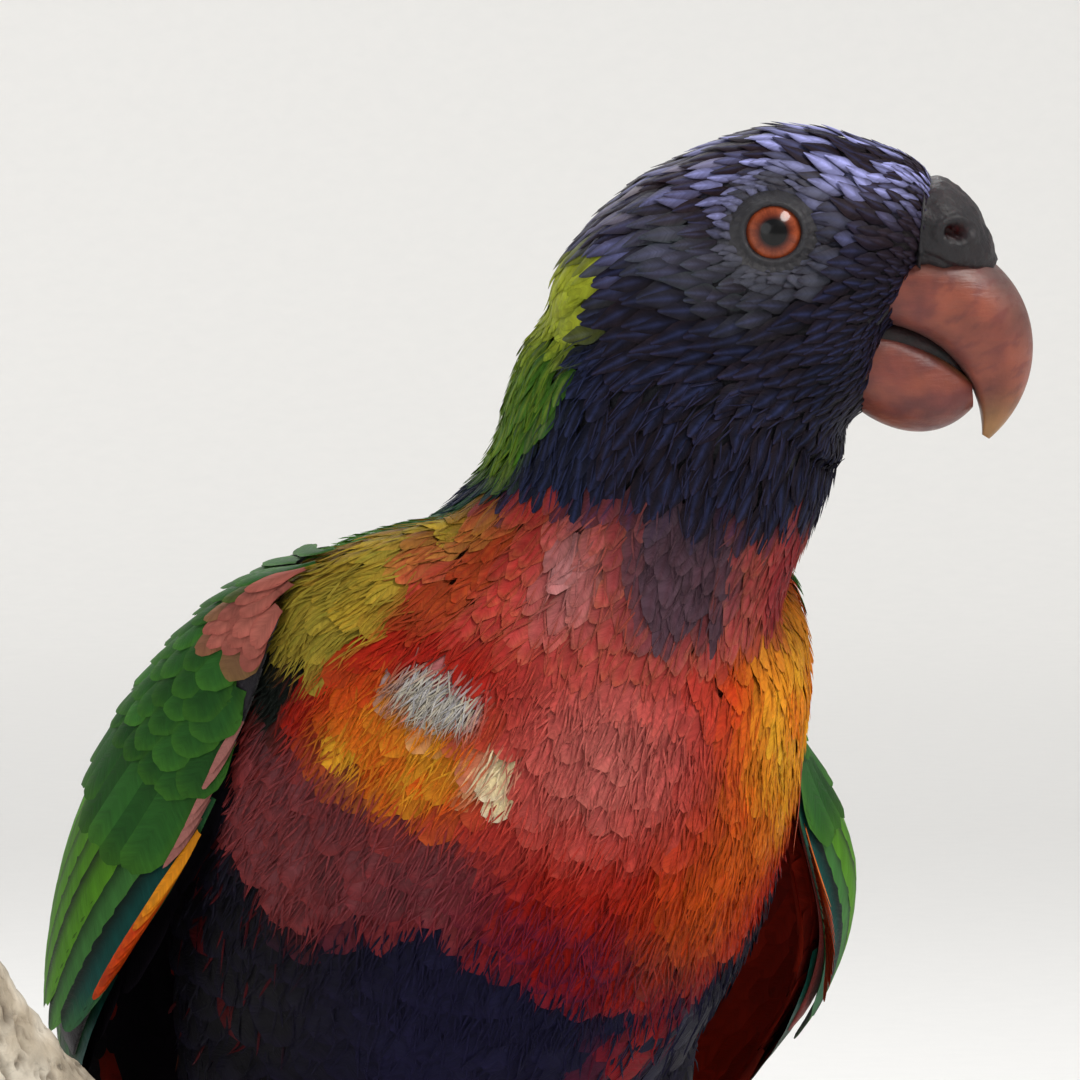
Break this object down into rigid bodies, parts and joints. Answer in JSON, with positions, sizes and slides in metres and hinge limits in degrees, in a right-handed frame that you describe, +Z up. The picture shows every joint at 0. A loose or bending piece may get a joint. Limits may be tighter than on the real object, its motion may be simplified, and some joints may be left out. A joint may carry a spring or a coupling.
{
  "type": "rainbow lorikeet",
  "caption": "Life-size parrot with its head turned aside, gripping a short upturned length of branch on a round display stand.",
  "frame": {"origin": "centre of the stand base's underside, straight below the middle of the perch", "axes": "+Z up; the bird's breast faces -Y and its left side is +X, with the head turned towards +X"},
  "size_m": [0.1384, 0.1777, 0.2372],
  "materials": {
    "head_feathers": "fine dark feathers with violet-blue shafts",
    "neck_feathers": "soft feathers, blue-black in front and yellow-green at the nape",
    "breast_feathers": "soft overlapping feathers, red, orange and yellow, dark blue on the belly",
    "wing_feathers": "smooth green vanes",
    "flight_feathers": "smooth dark green vanes with an orange-red leading stripe",
    "tail_feathers": "smooth green vanes",
    "leg_feathers": "soft short feathers",
    "bill_horn": "smooth orange-red horn",
    "cere_skin": "bare grey skin",
    "eye": "clear glossy, orange-red iris and black pupil",
    "foot_skin": "grey scaly skin",
    "claw_horn": "dark horn",
    "bark": "pale weathered mottled bark",
    "base_wood": "dark stained, satin",
    "rod_steel": "brushed"
  },
  "bodies": {
    "root": {"head": "head_feathers", "neck": "neck_feathers", "trunk": "breast_feathers", "tail": "tail_feathers", "wing_left_coverts": "wing_feathers", "wing_left_secondaries": "wing_feathers", "wing_left_primaries": "flight_feathers", "wing_right_coverts": "wing_feathers", "wing_right_secondaries": "wing_feathers", "wing_right_primaries": "flight_feathers", "leg_left": "leg_feathers", "leg_right": "leg_feathers", "foot_left": "foot_skin", "foot_right": "foot_skin", "claw_left_1": "claw_horn", "claw_left_2": "claw_horn", "claw_left_3": "claw_horn", "claw_left_4": "claw_horn", "claw_right_1": "claw_horn", "claw_right_2": "claw_horn", "claw_right_3": "claw_horn", "claw_right_4": "claw_horn", "bill_upper": "bill_horn", "bill_lower": "bill_horn", "cere": "cere_skin", "eye_left": "eye", "eye_right": "eye", "perch_branch": "bark", "stand_base": "base_wood", "stand_rod": "rod_steel"}
  },
  "joints": []
}
